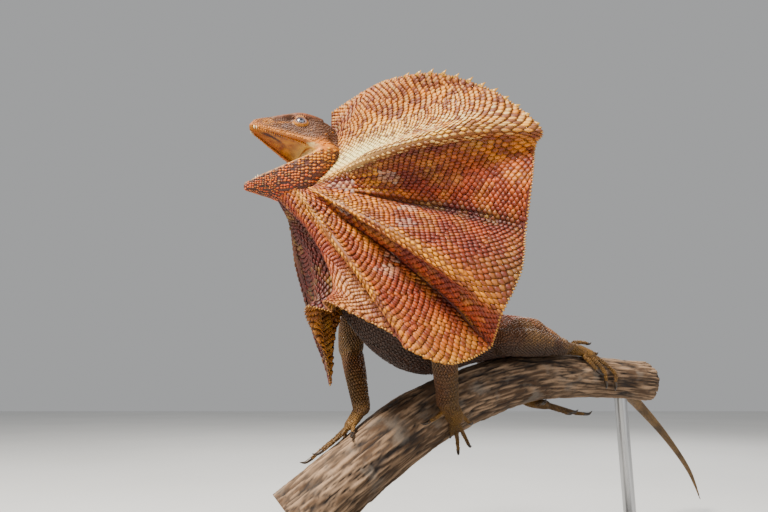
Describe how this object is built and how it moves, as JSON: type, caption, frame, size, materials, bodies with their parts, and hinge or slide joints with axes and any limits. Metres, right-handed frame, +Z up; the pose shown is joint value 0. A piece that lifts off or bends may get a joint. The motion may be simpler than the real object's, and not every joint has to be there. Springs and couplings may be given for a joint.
{
  "type": "frilled lizard",
  "caption": "Life-size still model of a frilled lizard, mouth open and frill raised, gripping a short cut branch held by a plain display stand.",
  "frame": {"origin": "centre of the underside of the display base", "axes": "+Z up; the animal faces -X, with its head turned toward -Y; the branch runs from low at -X to high at +X"},
  "size_m": [0.4061, 0.3608, 0.3082],
  "materials": {
    "head": "dark brown scaled skin with rust flecks",
    "jaw": "orange scales on dark skin",
    "frill": "orange and rust scaled skin, yellow along its folds",
    "back": "brown scaled skin",
    "limb": "olive brown scaled skin",
    "tail": "tan scaled skin",
    "tongue": "moist",
    "eye": "wet gloss",
    "bark": "rough furrowed bark, pale cut ends",
    "stand": "satin black",
    "rod": "satin"
  },
  "bodies": {
    "root": {"torso": "back", "eye_left": "eye", "eye_right": "eye", "head": "head", "lower_jaw": "jaw", "tongue": "tongue", "neck": "head", "frill_left_upper": "frill", "frill_left_side": "frill", "frill_left_lower": "frill", "frill_left_throat": "frill", "frill_right_upper": "frill", "frill_right_side": "frill", "frill_right_lower": "frill", "frill_right_throat": "frill", "upper_arm_left": "limb", "upper_arm_right": "limb", "forearm_left": "limb", "forearm_right": "limb", "hand_left": "limb", "hand_right": "limb", "thigh_left": "back", "thigh_right": "back", "shin_left": "limb", "shin_right": "limb", "foot_left": "limb", "foot_right": "limb", "tail_1": "tail", "tail_2": "tail", "tail_3": "tail", "tail_4": "tail", "perch": "bark", "stand_base": "stand", "stand_rod_front": "rod", "stand_rod_back": "rod"}
  },
  "joints": []
}
